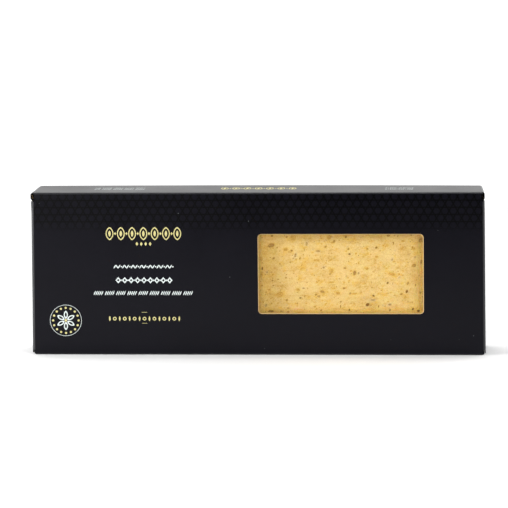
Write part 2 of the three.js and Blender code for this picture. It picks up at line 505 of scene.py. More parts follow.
def lozenge(centre, width, height):
    u, v = centre
    return [(u, v - height / 2), (u + width / 2, v), (u, v + height / 2), (u - width / 2, v)]


def almond(centre, width, height, turn=0.0, steps=10):
    """A pointed oval, standing upright before it is turned about its centre."""
    u, v = centre
    half = []
    for k in range(steps + 1):
        t = math.pi * k / steps
        half.append((width / 2 * math.sin(t) ** 1.4, -height / 2 * math.cos(t)))
    outline = half + [(-a, b) for a, b in reversed(half[1:-1])]
    c, s = math.cos(turn), math.sin(turn)
    return [(u + a * c - b * s, v + a * s + b * c) for a, b in outline]


def spread(centre, length, count):
    """Evenly spaced places along a row, as u and v."""
    pitch = length / count
    return [(centre[0] + (k - (count - 1) / 2) * pitch, centre[1]) for k in range(count)]


def ring(centre, radius, count):
    """Evenly spaced places round a circle, anticlockwise from its top, with each one's turn."""
    u, v = centre
    turns = [2 * math.pi * k / count for k in range(count)]
    return [((u - radius * math.sin(t), v + radius * math.cos(t)), t) for t in turns]


def print_frieze(page, foil, centre, length, height, count=7):
    """A row of outlined almonds with lozenges between them."""
    pitch = length / count
    for k, (u, v) in enumerate(spread(centre, length, count)):
        outer = almond((u, v), 0.7 * pitch, height)
        page.band(foil, outer, almond((u, v), 0.52 * pitch, 0.8 * height))
        page.slab(foil, almond((u, v), 0.22 * pitch, 0.46 * height))
        if k < count - 1:
            page.slab(foil, lozenge((u + pitch / 2, v), 0.2 * pitch, 0.24 * height))


def print_vine(page, ink, centre, length, height):
    """Small leaves that lean to and fro, with a bead in every fourth place."""
    for k, place in enumerate(spread(centre, length, round(length / 1.15))):
        if k % 4 == 3:
            page.slab(ink, circle(place, 0.17 * height, 10))
            continue
        lean = math.radians(32 if k % 2 else -32)
        page.slab(ink, almond(place, 0.28 * height, height, lean))


def print_lozenges(page, ink, centre, length, height):
    """Outlined lozenges with small ones between them."""
    places = spread(centre, length, round(length / 3.4))
    for place in places:
        outer = lozenge(place, 0.86 * height, height)
        page.band(ink, outer, lozenge(place, 0.4 * height, 0.46 * height))
    for (u, v), (after, _) in zip(places, places[1:]):
        page.slab(ink, lozenge(((u + after) / 2, v), 0.26 * height, 0.3 * height))


def print_wheat(page, ink, centre, length, height):
    """Slender leaves that all lean one way, in bunches of five."""
    for k, place in enumerate(spread(centre, length, round(length))):
        if k % 6 < 5:
            page.slab(ink, almond(place, 0.22 * height, height, math.radians(-24)))


def print_beads(page, foil, centre, length, height):
    """Rings and upright almonds by turns."""
    for k, place in enumerate(spread(centre, length, 2 * round(length / 5.4) + 1)):
        if k % 2:
            page.band(foil, circle(place, 0.38 * height, 16), circle(place, 0.2 * height, 16))
        else:
            page.slab(foil, almond(place, 0.34 * height, height))


def print_roundel(page, foil, ink, centre, radius):
    """A thin ring round a ring of gold beads, with a rosette of almonds in its middle."""
    page.band(ink, circle(centre, radius), circle(centre, radius - 0.22))
    for place, _ in ring(centre, 0.8 * radius, 16):
        page.slab(foil, circle(place, 0.07 * radius, 12))
    for place, turn in ring(centre, 0.36 * radius, 6):
        outer = almond(place, 0.26 * radius, 0.52 * radius, turn)
        page.band(ink, outer, almond(place, 0.13 * radius, 0.3 * radius, turn))
    page.slab(foil, circle(centre, 0.08 * radius, 16))


def print_rules(page, foil, centre, apart):
    for v in (centre[1] - apart, centre[1] + apart):
        page.slab(foil, box((centre[0], v), 2.8, 0.17))


ORNAMENT_CENTRE = -60.4


def print_front(foil, ink):
    page = FRONT_PAGE
    print_frieze(page, foil, (ORNAMENT_CENTRE, 65.2), 42.0, 7.0)
    for u, v in spread((ORNAMENT_CENTRE, 59.7), 9.4, 4):
        page.slab(foil, lozenge((u, v), 1.4, 2.2))
    print_vine(page, ink, (ORNAMENT_CENTRE, 47.5), 32.0, 2.3)
    print_lozenges(page, ink, (ORNAMENT_CENTRE, 40.2), 30.8, 3.4)
    print_wheat(page, ink, (ORNAMENT_CENTRE, 33.3), 53.6, 2.5)
    print_beads(page, foil, (ORNAMENT_CENTRE, 19.5), 39.6, 2.6)
    print_rules(page, foil, (ORNAMENT_CENTRE, 20.0), 2.95)
    print_roundel(page, foil, ink, (-102.3, 18.5), 8.45)


def print_top(foil, ink):
    page = TOP_PAGE
    print_frieze(page, foil, (0.0, -1.5), 42.0, 7.0)
    for v in (1.6, -2.8):
        print_wheat(page, ink, (74.2, v), 27.0, 2.0)
        print_vine(page, ink, (-74.8, v), 15.0, 2.0)


def print_back(foil, ink):
    page = BACK_PAGE
    print_frieze(page, foil, (0.0, 62.0), 42.0, 7.0)
    print_vine(page, ink, (0.0, 46.6), 64.0, 2.1)
    print_lozenges(page, ink, (0.0, 40.0), 61.0, 3.6)
    print_wheat(page, ink, (0.0, 33.4), 65.0, 2.4)
    print_beads(page, foil, (0.0, 22.0), 39.0, 2.5)
    print_rules(page, foil, (0.0, 22.0), 2.95)


def build_print(foil_material, ink_material):
    foil, ink = Ink(FOIL_THICKNESS), Ink(INK_THICKNESS)
    for side in (print_front, print_top, print_back):
        side(foil, ink)
    prints = ((foil, "print_gold", foil_material), (ink, "print_white", ink_material))
    for shell, name, material in prints:
        piece = shell.make(name, [material])
        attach(piece, BODY)


# ---- The window's film ----


FILM_SAG, FILM_RIPPLE, FILM_THICKNESS = 0.1, 0.03, 0.06
FILM_GRID = 2.5


def film_place(x, z, depth):
    """A point of the film, which sags a little where nothing holds it."""
    u = unit((x - WINDOW_LOW[0]) / (WINDOW_HIGH[0] - WINDOW_LOW[0]))
    v = unit((z - WINDOW_LOW[1]) / (WINDOW_HIGH[1] - WINDOW_LOW[1]))
    free = math.sin(math.pi * u) * math.sin(math.pi * v)
    wave = noise.noise(Vector((x / 16, 3.0, z / 11)))
    return (x, FILM_LOW.y + depth + free * (FILM_SAG + FILM_RIPPLE * wave), z)


def build_film(material):
    """A clear sheet glued behind the window."""
    columns = stations(FILM_LOW.x, FILM_HIGH.x, [WINDOW_LOW[0], WINDOW_HIGH[0]], FILM_GRID)
    rows = stations(FILM_LOW.z, FILM_HIGH.z, [WINDOW_LOW[1], WINDOW_HIGH[1]], FILM_GRID)
    shell = Shell()
    faces = []
    for depth in (0.0, FILM_THICKNESS):
        table = [shell.add_points(settle([film_place(x, z, depth) for x in columns])) for z in rows]
        for first, second in zip(table, table[1:]):
            shell.add_strip(first, second)
        faces.append(table)
    shell.join_edges(*faces)
    film = shell.make("window_film_sheet", [material])
    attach(film, BODY)
    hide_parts("window_film")


# ---- The nougat ----

NOUGAT_EDGE = 3.0  # radius of the bar's edges
UNEVENNESS = 0.3
CORE_DEPTH = NOUGAT_HIGH.y - NOUGAT_EDGE
DETAIL_SPACING = 0.5  # the faces' grid in the window
PLAIN_SPACING = 3.5  # and out of sight
DETAIL_MARGIN = 4.0

FACE_PIECES = 620  # how many almond pieces are scattered over each broad face
FACE_MARGIN = 5.0  # how far in from its edges
LONGEST_IN_WINDOW = 1.1  # how long they may be where they show
SHORTEST_CHIP = 1.2  # shorter ones are only stains
PIT_COUNT = 900
EDGE_SHADE_REACH = (11.0, 6.0, 3.0, 3.6)  # in from the window's left, right, lower and upper edges
PAINTED_LIGHT_REACH = 4.0  # how far up from the window's lower edge the painted light reaches

# The almond pieces that stand out in the window: x, z, length, width, tilt in degrees, kind.
PIECES = (
    (7.0, 58.3, 4.0, 2.6, 15, "toasted"),
    (7.5, 63.4, 1.3, 0.8, 0, "skin"),
    (18.7, 62.4, 3.8, 3.4, 60, "orange"),
    (14.7, 56.0, 2.7, 1.8, 12, "orange"),
    (17.8, 55.5, 1.5, 1.1, -20, "toasted"),
    (19.8, 53.0, 2.6, 1.2, 75, "pale"),
    (8.2, 51.3, 1.7, 1.2, 40, "toasted"),
    (1.7, 51.0, 3.2, 1.6, 85, "orange"),
    (2.2, 45.8, 2.0, 0.9, 85, "skin"),
    (1.9, 42.8, 3.4, 1.7, 80, "orange"),
    (8.8, 46.0, 1.2, 0.7, 0, "toasted"),
    (4.7, 43.8, 1.3, 1.0, 80, "pale"),
    (7.5, 39.4, 1.2, 0.9, 70, "skin"),
    (11.5, 32.0, 4.2, 3.0, 10, "orange"),
    (5.4, 34.5, 1.2, 0.9, 0, "toasted"),
    (21.1, 34.4, 2.1, 1.6, -20, "orange"),
    (15.2, 28.8, 1.5, 0.8, 75, "toasted"),
    (22.3, 30.1, 1.4, 0.9, 5, "skin"),
    (20.6, 27.2, 1.0, 0.5, 0, "skin"),
    (4.0, 26.0, 1.6, 1.3, 60, "pale"),
    (6.6, 22.9, 3.6, 1.3, 0, "toasted"),
    (12.0, 22.9, 1.1, 0.7, 0, "skin"),
    (15.7, 24.6, 1.3, 1.1, 0, "orange"),
    (25.8, 59.2, 2.4, 1.3, 82, "pale"),
    (24.4, 56.8, 1.1, 0.7, 0, "toasted"),
    (37.6, 62.6, 3.0, 2.4, 80, "orange"),
    (38.9, 63.0, 1.0, 0.8, 80, "skin"),
    (40.2, 60.3, 2.2, 1.4, 50, "toasted"),
    (33.8, 59.2, 1.1, 0.5, 85, "skin"),
    (35.8, 57.5, 1.5, 1.0, 20, "toasted"),
    (31.8, 55.2, 2.7, 1.2, 0, "pale"),
    (31.0, 50.3, 3.7, 1.2, 2, "orange"),
    (38.2, 50.4, 1.9, 1.0, 12, "orange"),
    (22.2, 51.3, 1.6, 0.8, 80, "toasted"),
    (34.7, 46.3, 1.3, 1.0, 0, "pale"),
    (39.0, 44.6, 2.4, 1.6, 60, "orange"),
    (38.1, 42.9, 1.3, 0.9, 15, "toasted"),
    (38.6, 38.5, 3.6, 0.8, 5, "orange"),
    (32.1, 39.5, 1.1, 0.9, 0, "toasted"),
    (24.0, 35.3, 1.5, 0.8, -10, "pale"),
    (33.9, 33.5, 2.6, 1.5, -10, "toasted"),
    (30.5, 31.9, 1.4, 0.8, 60, "toasted"),
    (32.0, 30.9, 1.8, 0.9, -20, "toasted"),
    (42.2, 32.7, 2.5, 1.9, 0, "orange"),
    (30.0, 25.4, 1.6, 1.0, 0, "orange"),
    (33.2, 23.4, 1.2, 0.9, 60, "skin"),
    (43.5, 25.5, 1.8, 0.6, 85, "toasted"),
    (46.5, 62.8, 1.6, 1.3, 60, "toasted"),
    (48.4, 53.6, 1.4, 0.9, 0, "skin"),
    (51.8, 53.9, 1.2, 0.9, 60, "toasted"),
    (47.8, 56.3, 1.3, 1.0, 0, "toasted"),
    (62.6, 57.1, 1.5, 1.1, 30, "skin"),
    (62.7, 52.1, 1.8, 1.3, 15, "orange"),
    (53.2, 48.9, 1.2, 0.6, 85, "toasted"),
    (46.0, 46.1, 1.5, 1.0, 0, "toasted"),
    (57.6, 45.9, 2.1, 1.5, 10, "orange"),
    (51.0, 43.5, 2.8, 1.8, 78, "toasted"),
    (53.2, 43.4, 1.3, 0.9, 80, "pale"),
    (47.4, 41.0, 1.2, 0.6, 85, "toasted"),
    (45.5, 35.4, 1.9, 0.8, 0, "toasted"),
    (48.7, 32.5, 1.4, 1.1, 60, "toasted"),
    (50.9, 32.4, 3.0, 1.0, 3, "orange"),
    (61.0, 31.3, 1.4, 1.0, -30, "skin"),
    (60.5, 29.0, 2.8, 0.9, 0, "pale"),
    (57.9, 26.5, 2.4, 1.8, 20, "skin"),
    (59.7, 26.3, 1.4, 1.1, 0, "orange"),
    (63.7, 25.6, 1.4, 0.6, 85, "toasted"),
    (48.2, 23.7, 1.4, 0.8, 80, "skin"),
    (69.0, 63.5, 2.1, 1.2, 0, "toasted"),
    (81.0, 63.8, 1.3, 1.0, 80, "toasted"),
    (76.7, 60.5, 1.9, 1.0, 0, "orange"),
    (71.7, 59.5, 1.6, 0.6, 85, "toasted"),
    (85.8, 61.0, 3.2, 1.8, 70, "toasted"),
    (76.1, 56.3, 2.0, 1.3, 55, "orange"),
    (82.2, 56.4, 2.2, 1.4, -10, "orange"),
    (83.0, 51.9, 1.4, 0.9, 50, "pale"),
    (70.9, 50.7, 1.5, 0.8, 80, "pale"),
    (71.9, 49.6, 1.2, 0.9, 0, "toasted"),
    (82.3, 47.5, 2.6, 1.8, 30, "toasted"),
    (82.7, 47.2, 1.5, 0.9, 20, "skin"),
    (86.2, 49.5, 2.8, 1.0, 85, "toasted"),
    (70.8, 43.0, 4.0, 1.7, -14, "orange"),
    (68.5, 38.2, 1.3, 1.0, 50, "skin"),
    (79.2, 38.0, 1.9, 1.2, 65, "toasted"),
    (83.2, 37.0, 1.4, 0.7, 85, "toasted"),
    (78.6, 33.6, 2.0, 1.3, 75, "skin"),
    (75.8, 32.2, 1.7, 1.1, 20, "toasted"),
    (77.6, 30.4, 1.3, 0.8, 0, "orange"),
    (85.8, 33.0, 1.5, 1.1, 60, "toasted"),
    (69.6, 26.6, 1.9, 1.1, 10, "pale"),
    (81.8, 24.2, 1.5, 1.0, 70, "skin"),
    (69.7, 23.7, 1.8, 0.8, 85, "toasted"),
    (84.7, 23.3, 1.6, 1.3, 0, "skin"),
)

# How often each kind of almond piece turns up.
SCATTERED_KINDS = ("toasted",) * 5 + ("orange",) * 6 + ("skin",) * 4 + ("pale",)


def near_window(x, z, margin=2.0):
    inside_x = WINDOW_LOW[0] - margin < x < WINDOW_HIGH[0] + margin
    return inside_x and WINDOW_LOW[1] - margin < z < WINDOW_HIGH[1] + margin


def scattered_pieces():
    """More almond pieces over the two broad faces: x, z, length, width, tilt, kind, side."""
    draw = random.Random(17)
    found = []
    for side in (-1, 1):
        for _ in range(FACE_PIECES):
            x = draw.uniform(NOUGAT_LOW.x + FACE_MARGIN, NOUGAT_HIGH.x - FACE_MARGIN)
            z = draw.uniform(NOUGAT_LOW.z + FACE_MARGIN, NOUGAT_HIGH.z - FACE_MARGIN)
            length = 0.8 + 2.6 * draw.random() ** 4
            if side < 0 and near_window(x, z):
                length = min(length, LONGEST_IN_WINDOW)
            width = length * draw.uniform(0.45, 0.85)
            tilt, kind = draw.uniform(-50, 50), draw.choice(SCATTERED_KINDS)
            found.append((x, z, length, width, tilt, kind, side))
    return found


ALL_PIECES = [(*piece, -1) for piece in PIECES] + scattered_pieces()


def nougat_coordinates(low, high, detail=None):
    """Grid places along one side: close together in the stretch that shows, and in the edges."""
    marks = [low + NOUGAT_EDGE, high - NOUGAT_EDGE]
    if detail is None:
        middle = stations(*marks, [], PLAIN_SPACING)
    else:
        first, last = detail
        middle = stations(marks[0], first, [], PLAIN_SPACING)
        middle += stations(first, last, [], DETAIL_SPACING)[1:]
        middle += stations(last, marks[1], [], PLAIN_SPACING)[1:]
    lead = [low + NOUGAT_EDGE * k / 4 for k in range(4)]
    tail = [high - NOUGAT_EDGE * k / 4 for k in (3, 2, 1, 0)]
    return np.array(lead + middle + tail)


def swell(x, y, z):
    """How far a cast face swells, as a few crossing waves of unlike lengths."""
    waves = np.sin(x / 17 + 0.6) * np.cos(z / 13 + 1.1) + 0.6 * np.sin(x / 7.3 + z / 9.1)
    waves += 0.4 * np.cos(x / 29 - z / 5.7 + y / 6)
    return UNEVENNESS * waves / 2


def scattered_pits():
    """Small air holes: x, z, radius, depth and side."""
    draw = random.Random(29)
    found = []
    for _ in range(PIT_COUNT):
        x = draw.uniform(NOUGAT_LOW.x, NOUGAT_HIGH.x)
        z = draw.uniform(NOUGAT_LOW.z, NOUGAT_HIGH.z)
        radius = draw.uniform(0.3, 0.75)
        found.append((x, z, radius, radius * draw.uniform(0.25, 0.6), draw.choice((-1, 1))))
    return found


PITS = scattered_pits()


def near(x, z, centre_x, centre_z, reach):
    return np.nonzero((np.abs(x - centre_x) < reach) & (np.abs(z - centre_z) < reach))[0]


def fine_relief(x, z, side):
    """Lumps and holes in a broad face, at each place of it."""
    lumps = [
        0.16 * noise.noise(Vector((a / 5.5, side, b / 3.6)))
        + 0.09 * noise.noise(Vector((a / 1.9, side + 4, b / 1.3)))
        for a, b in zip(x, z)
    ]
    height = np.array(lumps)
    for centre_x, centre_z, radius, depth, pit_side in PITS:
        if pit_side != side:
            continue
        found = near(x, z, centre_x, centre_z, 2.5 * radius)
        distance = (x[found] - centre_x) ** 2 + (z[found] - centre_z) ** 2
        height[found] -= depth * np.exp(-distance / (0.5 * radius**2))
    return height


def nougat_surface():
    """The block's points and quads: a box whose edges are rounded, as six joined grids."""
    detail_x = (WINDOW_LOW[0] - DETAIL_MARGIN, WINDOW_HIGH[0] + DETAIL_MARGIN)
    detail_z = (WINDOW_LOW[1] - DETAIL_MARGIN, WINDOW_HIGH[1] + DETAIL_MARGIN)
    lines = (
        nougat_coordinates(NOUGAT_LOW.x, NOUGAT_HIGH.x, detail_x),
        nougat_coordinates(NOUGAT_LOW.y, NOUGAT_HIGH.y),
        nougat_coordinates(NOUGAT_LOW.z, NOUGAT_HIGH.z, detail_z),
    )
    points, quads, total = [], [], 0
    for axis in range(3):
        first, second = (k for k in range(3) if k != axis)
        u, v = np.meshgrid(lines[first], lines[second], indexing="ij")
        for value in (lines[axis][0], lines[axis][-1]):
            block = np.empty((u.size, 3))
            block[:, first], block[:, second], block[:, axis] = u.ravel(), v.ravel(), value
            points.append(block)
            index = total + np.arange(u.size).reshape(u.shape)
            total += u.size
            corners = (index[:-1, :-1], index[1:, :-1], index[1:, 1:], index[:-1, 1:])
            quads.append(np.stack([c.ravel() for c in corners], axis=1))
    return np.concatenate(points), np.concatenate(quads)


def shape_nougat(points):
    """Rounds the box's edges, swells its faces and cuts the fine relief into the two broad ones."""
    low, high = np.array(NOUGAT_LOW), np.array(NOUGAT_HIGH)
    core = np.clip(points, low + NOUGAT_EDGE, high - NOUGAT_EDGE)
    away = points - core
    outward = away / np.linalg.norm(away, axis=1, keepdims=True)
    reach = NOUGAT_EDGE + swell(*core.T) - UNEVENNESS
    for side in (-1, 1):
        facing = np.clip((outward[:, 1] * side - 0.5) * 2, 0, 1)
        broad = np.nonzero(facing > 0)[0]
        reach[broad] += facing[broad] * fine_relief(core[broad, 0], core[broad, 2], side)
    return core + outward * reach[:, None]


def stain(points, kinds, reach=1.0):
    """How strongly each point lies in or by an almond piece of these kinds, from 0 to 1."""
    amount = np.zeros(len(points))
    for x, z, length, width, tilt, kind, side in ALL_PIECES:
        if kind not in kinds:
            continue
        found = near(points[:, 0], points[:, 2], x, z, length * reach)
        found = found[points[found, 1] * side > NOUGAT_EDGE]
        turn = math.radians(tilt)
        dx, dz = points[found, 0] - x, points[found, 2] - z
        along = (dx * math.cos(turn) + dz * math.sin(turn)) / (0.5 * length * reach)
        across = (dz * math.cos(turn) - dx * math.sin(turn)) / (0.5 * width * reach)
        amount[found] = np.maximum(amount[found], np.exp(-((along**2 + across**2) ** 1.5)))
    return amount


def edge_painted_shade(points):
    """How much painted shade each point takes by the window's shaded edges, from 0 to 1."""
    x, y, z = points.T
    # Warm painted shade along the window's edges, widest at the left, where the recess shades the
    # bar most.
    distances = (x - WINDOW_LOW[0], WINDOW_HIGH[0] - x, z - WINDOW_LOW[1], WINDOW_HIGH[1] - z)
    dry = np.ones(len(points))
    for distance, reach in zip(distances, EDGE_SHADE_REACH):
        dry *= 1 - np.exp(-((np.clip(distance, 0, None) / reach) ** 2))
    return (1 - dry) * (y < 0)


def edge_painted_light(points):
    """How much painted light lifts each point's shade by the window's lower edge, from 0 to 1."""
    # Painted light, lifting the shade along the window's lower edge.
    height = np.clip(points[:, 2] - WINDOW_LOW[1], 0, None)
    return np.exp(-((height / PAINTED_LIGHT_REACH) ** 2)) * (points[:, 1] < 0)


def nougat_marks(points):
    """Each point's stains, oily stains with painted edge shade, and painted light, by name."""
    marks = {kind: stain(points, (kind,)) for kind in ALMONDS}
    marks["pale_halo"] = stain(points, ("pale",), 2.0)
    # This mark holds the painted edge shade as well as the oily stains round the almonds.
    marks["oil_and_edge_shade"] = np.maximum(0.85 * edge_painted_shade(points), stain(points, ("orange", "toasted"), 1.7))
    # Painted light by the window's lower edge.
    marks["painted_light"] = edge_painted_light(points)
    return marks


def build_nougat(material):
    points, quads = nougat_surface()
    shell = Shell()
    shell.add_points(shape_nougat(points))
    for quad in quads.tolist():
        shell.add_face(quad)
    nougat = shell.make("nougat_bar", [material], smooth_angle=80.0, weld=0.01)
    co = np.empty(len(nougat.data.vertices) * 3)
    nougat.data.vertices.foreach_get("co", co)
    places = co.reshape(-1, 3) / MM
    for name, amount in nougat_marks(places).items():
        attribute = nougat.data.attributes.new(name, "FLOAT", "POINT")
        attribute.data.foreach_set("value", amount.astype(np.float32))
    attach(nougat, BODY)
    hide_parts("nougat_block")


def face_height(x, z, side):
    """How far the bar's broad face stands out at each place, as Y along its outward side."""
    face = -NOUGAT_LOW.y if side < 0 else NOUGAT_HIGH.y
    return face - UNEVENNESS + swell(x, side * CORE_DEPTH, z) + fine_relief(x, z, side)


def chip(shell, piece, draw):
    """One almond piece: a small uneven solid with flat facets, most of it sunk in the face."""
    x, z, length, width, tilt, _, side = piece
    turn = math.radians(tilt)
    proud = draw.uniform(0.02, 0.07)
    around = 9  # points in a ring
    rings = ((0.45, proud + 0.03), (0.85, proud), (0.97, -0.12), (0.7, -0.4 * width))
    u, v, rise = [], [], []
    for size, height in rings:
        for k in range(around):
            angle = 2 * math.pi * (k + 0.4 * draw.random()) / around
            a = 0.5 * length * size * math.cos(angle) * draw.uniform(0.85, 1.1)
            b = 0.5 * width * size * math.sin(angle) * draw.uniform(0.85, 1.1)
            u.append(x + a * math.cos(turn) - b * math.sin(turn))
            v.append(z + a * math.sin(turn) + b * math.cos(turn))
            rise.append(height)
    out = face_height(np.array(u), np.array(v), side) + np.array(rise)
    points = shell.add_points(zip(u, side * out, v))
    rows = [points[k : k + around] for k in range(0, len(points), around)]
    for first, second in zip(rows, rows[1:]):
        shell.add_strip(first, second, closed=True)
    shell.add_face(rows[0])
    shell.add_face(rows[-1])


def build_chips(materials):
    """The almond pieces, one object for each kind."""
    draw = random.Random(43)
    shells = {kind: Shell() for kind in materials}
    for piece in ALL_PIECES:
        _, _, length, _, _, kind, _ = piece
        if length > SHORTEST_CHIP:
            chip(shells[kind], piece, draw)
    for kind, shell in shells.items():
        obj = shell.make(f"almond_{kind}", [materials[kind]], smooth_angle=20.0)
        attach(obj, BODY)


# ---- Materials ----


EVEN = (1.0, 1.0, 1.0)  # no stretch


class Nodes:
    """The node tree of a material or a world, with the few node patterns that this scene needs."""

    def __init__(self, owner):
        owner.use_nodes = True
        self.nodes = owner.node_tree.nodes
        self.links = owner.node_tree.links

    def put(self, value, socket):
        if isinstance(value, bpy.types.NodeSocket):
            self.links.new(value, socket)
        else:
            socket.default_value = value

    def add(self, kind, inputs, **settings):
        """A new node, with its settings, and its inputs by name or number."""
        node = self.nodes.new(f"ShaderNode{kind}")
        for name, value in settings.items():
            setattr(node, name, value)
        for key, value in inputs.items():
            self.put(value, node.inputs[key])
        return node

    def math(self, operation, *values):
        return self.add("Math", dict(enumerate(values)), operation=operation).outputs[0]

    def dot(self, vector, direction):
        node = self.add("VectorMath", {0: vector, 1: direction}, operation="DOT_PRODUCT")
        return node.outputs["Value"]

    def ramp(self, value, low, high, start=0.0, end=1.0):
        """start up to low, end from high on, and smooth between them."""
        inputs = {"Value": value, "From Min": low, "From Max": high, "To Min": start, "To Max": end}
        return self.add("MapRange", inputs, interpolation_type="SMOOTHSTEP").outputs["Result"]


class Surface(Nodes):
    """A material. Its patterns are in millimetres, and may be stretched along each axis."""

    def __init__(self, name):
        self.material = bpy.data.materials.new(name)
        super().__init__(self.material)
        self.shader = self.nodes["Principled BSDF"]

    def set(self, **values):
        for name, value in values.items():
            self.put(value, self.shader.inputs[name.replace("_", " ")])

    def place(self, stretch=EVEN):
        point = self.add("TexCoord", {}).outputs["Object"]
        factors = [factor / MM for factor in stretch]
        return self.add("VectorMath", {0: point, 1: factors}, operation="MULTIPLY").outputs[0]

    def noise(self, size, detail=2.0, roughness=0.5, stretch=EVEN):
        """Noise from 0 to 1 whose lumps are about this many millimetres across."""
        place = self.place(stretch)
        inputs = {"Vector": place, "Scale": 1 / size, "Detail": detail, "Roughness": roughness}
        return self.add("TexNoise", inputs).outputs["Fac"]

    def cells(self, spacing, stretch=EVEN):
        """Scattered places: the distance to the nearest, and a draw from 0 to 1 for each."""
        inputs = {"Vector": self.place(stretch), "Scale": 1 / spacing}
        found = self.add("TexVoronoi", inputs).outputs
        return found["Distance"], self.dot(found["Color"], (1.0, 0.0, 0.0))

    def mix(self, amount, first, second, blend="MIX"):
        node = self.add("Mix", {"Factor": amount}, data_type="RGBA", blend_type=blend)
        for value, name in ((first, "A"), (second, "B")):
            socket = next(s for s in node.inputs if s.name == name and s.type == "RGBA")
            self.put(value if isinstance(value, bpy.types.NodeSocket) else (*value, 1.0), socket)
        return next(s for s in node.outputs if s.type == "RGBA")

    def tones(self, value, stops):
        """A colour ramp: each stop is a place from 0 to 1 and its colour."""
        node = self.add("ValToRGB", {"Fac": value})
        elements = node.color_ramp.elements
        while len(elements) < len(stops):
            elements.new(0.5)
        for element, (place, colour) in zip(elements, stops):
            element.position = place
            element.color = (*colour, 1.0)
        return node.outputs["Color"]

    def attribute(self, name):
        return self.add("Attribute", {}, attribute_name=name).outputs["Fac"]

    def bump(self, height, depth):
        """Relief whose height of 1 is this many millimetres deep."""
        node = self.add("Bump", {"Strength": 1.0, "Distance": depth * MM, "Height": height})
        self.set(Normal=node.outputs["Normal"])


def shaded(colour, share):
    return tuple(share * part for part in colour)


def grained(name, grain, span, dark, light, roughness, relief, **finish):
    """A material that one noise shades from dark to light over a span of it, and raises a little.

    grain is the noise's size, detail, roughness and stretch. A pair of roughnesses follows it too.
    """
    surface = Surface(name)
    fine = surface.noise(*grain)
    if isinstance(roughness, tuple):
        roughness = surface.ramp(fine, *span, *roughness)
    colour = surface.mix(surface.ramp(fine, *span), dark, light)
    surface.set(Base_Color=colour, Roughness=roughness, **finish)
    surface.bump(fine, relief)
    return surface.material


BOARD_BLACK = (0.0031, 0.0029, 0.0053)
LINE_BLACK = (0.0001, 0.0001, 0.0002)
LATTICE_ROW = 3.8  # between the lattice's parallel lines
LATTICE_LINE = 0.13  # a line's share of that
LATTICE_RISE = 2.4  # how far up the whole lattice is shifted
LATTICE_FADE = (HEIGHT - 23.0, HEIGHT - 15.0)
LAMINATE_GRAIN = (0.35, 3.0, 0.6)


def lattice(surface):
    """Three crossing families of parallel lines, folded over the carton's top edges."""
    place = surface.place()
    across = surface.dot(place, (1.0, 0.0, 0.0))
    up = surface.math("SUBTRACT", surface.dot(place, (0.0, 1.0, 1.0)), LATTICE_RISE)
    lines = None
    for angle, phase in ((90, 0.5), (30, 0.0), (150, 0.0)):
        turn = math.radians(angle)
        along_x = surface.math("MULTIPLY", across, math.cos(turn) / LATTICE_ROW)
        along = surface.math("MULTIPLY_ADD", up, math.sin(turn) / LATTICE_ROW, along_x)
        share = surface.math("FRACT", surface.math("ADD", along, phase))
        off_centre = surface.math("ABSOLUTE", surface.math("SUBTRACT", share, 0.5))
        line = surface.ramp(off_centre, 0.5 - LATTICE_LINE, 0.5 - 0.3 * LATTICE_LINE)
        lines = line if lines is None else surface.math("MAXIMUM", lines, line)
    return lines


def creased_board_painted_sheen(name, shade, gloss):
    """The same black board at a fold: glossier, with a greyer base that is a painted sheen."""
    surface = Surface(name)
    wear = surface.noise(3.0, 4.0, 0.6)
    # The greyer base is painted sheen for the fold's reflection; the gloss is real.
    colour = surface.mix(surface.ramp(wear, 0.3, 0.7), shaded(shade, 0.85), shaded(shade, 1.15))
    roughness = surface.ramp(wear, 0.3, 0.7, 0.3, 0.4)
    surface.set(Base_Color=colour, Roughness=roughness, Specular_IOR_Level=gloss)
    surface.bump(surface.noise(*LAMINATE_GRAIN), 0.01)
    return surface.material


def printed_board():
    """Black board under a matte laminate, with a tone-on-tone lattice near the top folds."""
    surface = Surface("printed_board")
    shown = surface.ramp(surface.dot(surface.place(), (0.0, 0.0, 1.0)), *LATTICE_FADE)
    normal = surface.add("NewGeometry", {}).outputs["Normal"]
    facing_end = surface.math("ABSOLUTE", surface.dot(normal, (1.0, 0.0, 0.0)))
    shown = surface.math("MULTIPLY", shown, surface.ramp(facing_end, 0.4, 0.7, 1.0, 0.0))
    lines = surface.math("MULTIPLY", lattice(surface), shown)
    mottle = surface.noise(28.0, 3.0)
    base = surface.mix(surface.ramp(mottle, 0.3, 0.7), BOARD_BLACK, shaded(BOARD_BLACK, 1.15))
    dust_distance, _ = surface.cells(9.0)
    dust = surface.ramp(dust_distance, 0.012, 0.03, 0.5, 0.0)
    colour = surface.mix(dust, surface.mix(lines, base, LINE_BLACK), (0.25, 0.27, 0.27))
    roughness = surface.ramp(mottle, 0.25, 0.75, 0.28, 0.32)
    surface.set(Base_Color=colour, Roughness=roughness, Specular_IOR_Level=0.11)
    surface.bump(surface.math("MULTIPLY_ADD", lines, -0.4, surface.noise(*LAMINATE_GRAIN)), 0.006)
    return surface.material


def plain_board():
    """The board's uncoated inner face."""
    tones = {"dark": (0.42, 0.35, 0.23), "light": (0.54, 0.46, 0.32)}
    grain = {"grain": (0.5, 4.0, 0.6), "span": (0.3, 0.7), "relief": 0.03}
    return grained("plain_board", **grain, **tones, roughness=0.9, Specular_IOR_Level=0.2)


def cut_board():
    """The cream core that shows where the board is cut."""
    tones = {"dark": (0.46, 0.31, 0.13), "light": (0.62, 0.44, 0.21)}
    grain = {"grain": (0.25, 3.0, 0.7), "span": (0.25, 0.75), "relief": 0.04}
    return grained("cut_board", **grain, **tones, roughness=0.85, Specular_IOR_Level=0.2)


